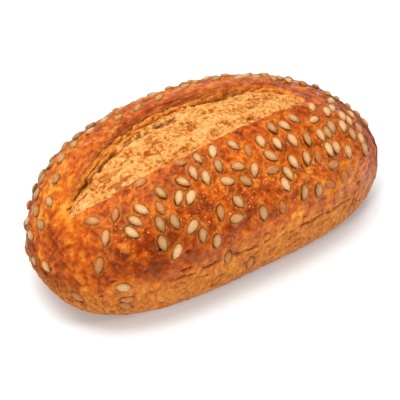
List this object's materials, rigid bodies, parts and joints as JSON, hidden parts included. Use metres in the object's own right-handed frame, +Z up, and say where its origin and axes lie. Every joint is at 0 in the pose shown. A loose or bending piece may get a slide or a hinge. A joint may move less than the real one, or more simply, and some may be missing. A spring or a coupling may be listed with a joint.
{
  "type": "bloomer loaf",
  "caption": "Plump oval bread loaf with round ends, a flat base, one long opened slash along its crown, and sunflower kernels pressed into its glossy crust.",
  "frame": {"origin": "middle of the loaf's footprint, on the face it stands on", "axes": "+X along the loaf, towards its more densely seeded end; +Y across it, towards the raised far lip of the slash; +Z up"},
  "size_m": [0.249, 0.142, 0.0934],
  "materials": {
    "crust": "baked crust with a soft gloss, golden tan to reddish brown",
    "kernel": "toasted sunflower kernel, pale beige with a dull sheen"
  },
  "bodies": {
    "root": {"loaf": "crust", "kernel_01": "kernel", "kernel_02": "kernel", "kernel_03": "kernel", "kernel_04": "kernel", "kernel_05": "kernel", "kernel_06": "kernel", "kernel_07": "kernel", "kernel_08": "kernel", "kernel_09": "kernel", "kernel_10": "kernel", "kernel_11": "kernel", "kernel_12": "kernel", "kernel_13": "kernel", "kernel_14": "kernel", "kernel_15": "kernel", "kernel_16": "kernel", "kernel_17": "kernel", "kernel_18": "kernel", "kernel_19": "kernel", "kernel_20": "kernel", "kernel_21": "kernel", "kernel_22": "kernel", "kernel_23": "kernel", "kernel_24": "kernel", "kernel_25": "kernel", "kernel_26": "kernel", "kernel_27": "kernel", "kernel_28": "kernel", "kernel_29": "kernel", "kernel_30": "kernel", "kernel_31": "kernel", "kernel_32": "kernel", "kernel_33": "kernel", "kernel_34": "kernel", "kernel_35": "kernel", "kernel_36": "kernel", "kernel_37": "kernel", "kernel_38": "kernel", "kernel_39": "kernel", "kernel_40": "kernel", "kernel_41": "kernel", "kernel_42": "kernel", "kernel_43": "kernel", "kernel_44": "kernel", "kernel_45": "kernel", "kernel_46": "kernel", "kernel_47": "kernel", "kernel_48": "kernel", "kernel_49": "kernel", "kernel_50": "kernel", "kernel_51": "kernel", "kernel_52": "kernel", "kernel_53": "kernel", "kernel_54": "kernel", "kernel_55": "kernel", "kernel_56": "kernel", "kernel_57": "kernel", "kernel_58": "kernel", "kernel_59": "kernel"}
  },
  "joints": []
}
